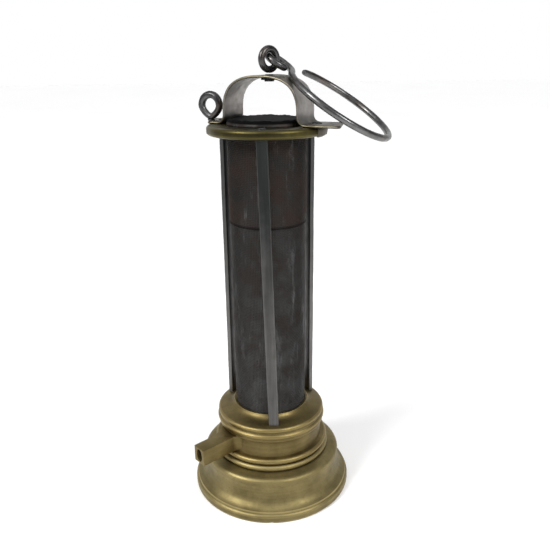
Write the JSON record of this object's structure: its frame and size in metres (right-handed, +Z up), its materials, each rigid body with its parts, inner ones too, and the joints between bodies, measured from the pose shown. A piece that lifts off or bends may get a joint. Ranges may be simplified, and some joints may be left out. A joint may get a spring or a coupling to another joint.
{
  "type": "wire gauze miner's safety lamp",
  "caption": "Brass oil vessel screwed to a three-pillar frame round a wire gauze, with a bent strap handle, a swivelling eye and an open wire hook",
  "frame": {"origin": "centre of the base rim that the lamp stands on, on the axis of the vessel and gauze", "axes": "+Z up along the lamp's axis; the front pillar is towards -Y and the hook lies towards +X"},
  "size_m": [0.1107, 0.0924, 0.2502],
  "materials": {
    "vessel_brass": "aged, satin, olive-brown tarnish with brighter edges",
    "frame_brass": "aged, satin, turned",
    "ring_brass": "aged, dark tarnish on the sides",
    "pillar_steel": "worn wrought iron, brown-grey",
    "strap_steel": "tinned iron sheet, dull, tan stains",
    "dark_steel": "dark, rubbed bright on high spots",
    "iron_gauze": "woven iron wire, sooted",
    "cap_gauze": "woven iron wire, sooted, rust-brown tint",
    "washer_leather": "oiled leather",
    "wick": "braided cotton, charred at the tip"
  },
  "bodies": {
    "vessel": {"vessel_shell": "vessel_brass", "vessel_base": "vessel_brass", "vessel_neck": "vessel_brass", "burner_plate": "frame_brass", "wick_tube": "frame_brass", "wick": "wick", "pricker_tube": "frame_brass"},
    "pricker": {"pricker_wire": "dark_steel", "pricker_knob": "frame_brass"},
    "washer": {"leather_washer": "washer_leather"},
    "frame": {"frame_ring": "frame_brass", "lock_boss": "frame_brass", "gauze_ring": "frame_brass", "gauze": "iron_gauze", "gauze_crown": "iron_gauze", "gauze_cap": "cap_gauze", "cap_crown": "cap_gauze", "pillar_front": "pillar_steel", "pillar_right": "pillar_steel", "pillar_left": "pillar_steel", "top_ring": "ring_brass", "strap": "strap_steel", "strap_rivet": "pillar_steel", "side_eye": "dark_steel"},
    "lock": {"lock_screw": "dark_steel"},
    "swivel": {"swivel_eye": "dark_steel", "swivel_washer": "pillar_steel"},
    "hook": {"hook": "dark_steel"}
  },
  "joints": [
    {"name": "pricker_lift", "type": "slide", "parent": "vessel", "child": "pricker", "axis": [0, 0, 1], "range_m": [0, 0.006]},
    {"name": "frame_rise", "type": "slide", "parent": "vessel", "child": "washer", "axis": [0, 0, 1], "range_m": [0, 0.01]},
    {"name": "frame_turn", "type": "hinge", "parent": "washer", "child": "frame", "pos_m": [0, 0, 0.04], "axis": [0, 0, 1], "range_deg": [0, 1800]},
    {"name": "lock_out", "type": "slide", "parent": "frame", "child": "lock", "axis": [-0.7547, -0.6561, 0], "range_m": [0, 0.002]},
    {"name": "eye_swivel", "type": "hinge", "parent": "frame", "child": "swivel", "pos_m": [0.0018, 0, 0.236], "axis": [0, 0, 1], "range_deg": [-2, 10]},
    {"name": "hook_lift", "type": "hinge", "parent": "swivel", "child": "hook", "pos_m": [0.0018, 0, 0.2436], "axis": [0.6428, -0.766, 0], "range_deg": [0, 170]}
  ],
  "couplings": [
    {"joint": "frame_rise", "follows": "frame_turn", "m_per_rad": 0.00031831}
  ]
}
